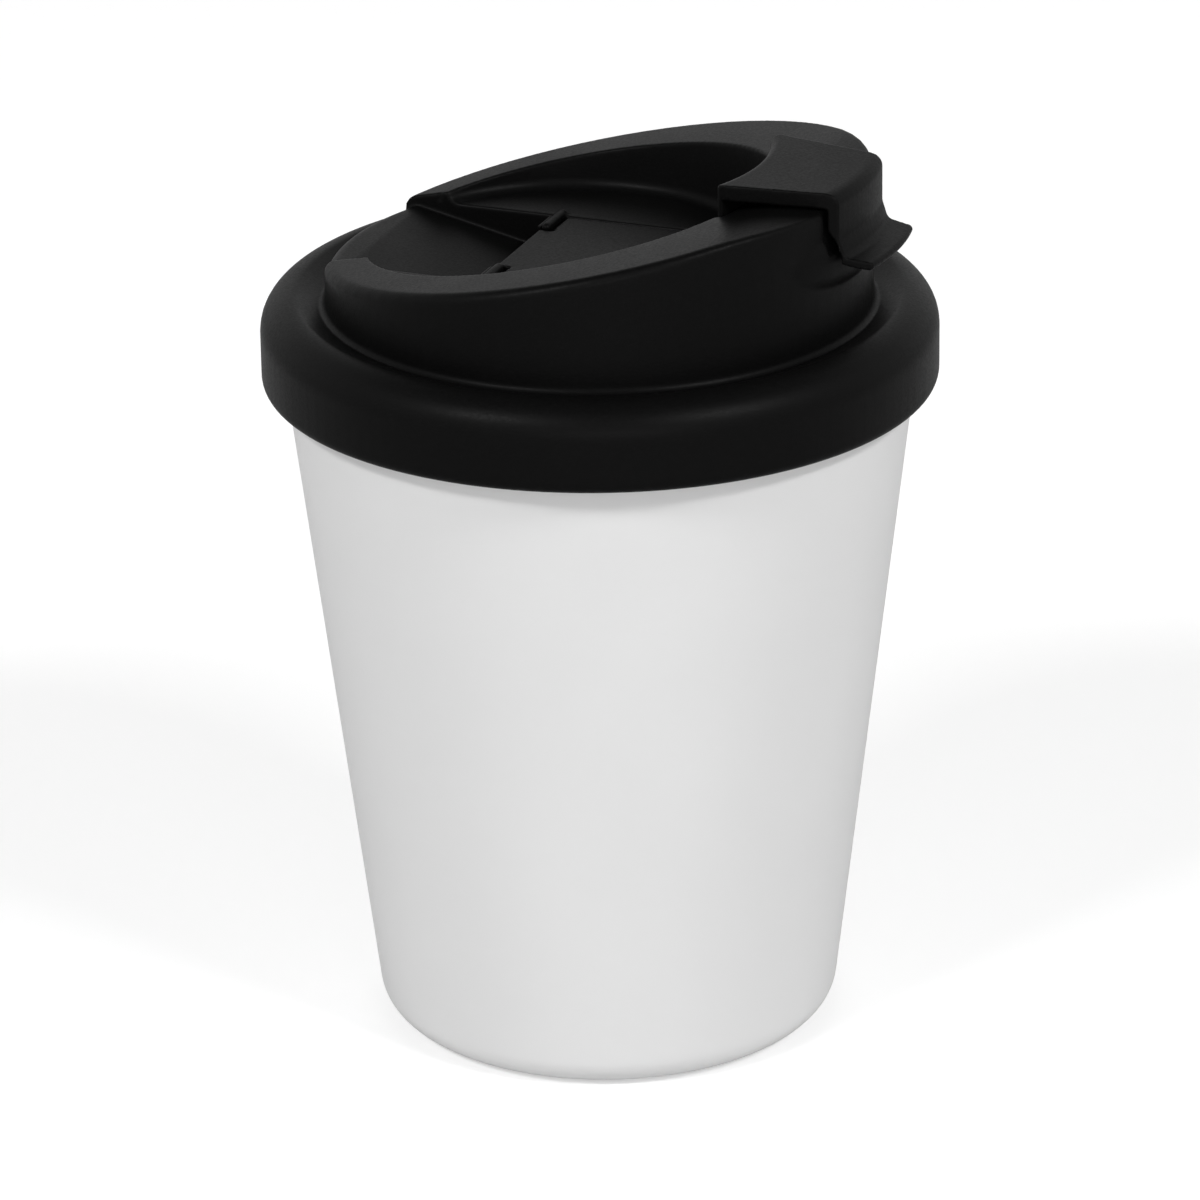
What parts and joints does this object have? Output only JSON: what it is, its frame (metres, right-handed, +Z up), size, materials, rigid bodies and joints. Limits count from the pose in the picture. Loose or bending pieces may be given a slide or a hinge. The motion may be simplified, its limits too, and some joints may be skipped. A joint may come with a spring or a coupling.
{
  "type": "double-wall travel cup with screw-on lid",
  "caption": "Tapered double-wall plastic travel cup with a screw-on spill-proof lid, a sloping drinking rim and a hinged flap that clips over the drinking hole.",
  "frame": {"origin": "centre of the foot, on the surface that the cup stands on", "axes": "+Z up along the cup's axis, +X towards the clip that closes the drinking hole"},
  "size_m": [0.09, 0.09, 0.1232],
  "materials": {
    "white_pp": "white moulded polypropylene, fine matte texture",
    "black_pp": "black moulded polypropylene, satin with a fine spark texture",
    "silicone": "translucent grey moulded silicone, matte"
  },
  "bodies": {
    "cup": {"outer_shell": "white_pp", "inner_liner": "white_pp"},
    "seal": {"lid_seal": "silicone"},
    "lid": {"lid": "black_pp"},
    "closure": {"flap": "black_pp", "flap_plug": "silicone"}
  },
  "joints": [
    {"name": "lid_rise", "type": "slide", "parent": "cup", "child": "seal", "axis": [0, 0, 1], "range_m": [0, 0.0101]},
    {"name": "lid_turn", "type": "hinge", "parent": "seal", "child": "lid", "pos_m": [0, 0, 0.095], "axis": [0, 0, 1], "range_deg": [0, 600]},
    {"name": "flap_hinge", "type": "hinge", "parent": "lid", "child": "closure", "pos_m": [-0.0108, 0, 0.10735], "axis": [0, -1, 0], "range_deg": [0, 165]}
  ],
  "couplings": [
    {"joint": "lid_rise", "follows": "lid_turn", "m_per_rad": 0.00095493}
  ]
}
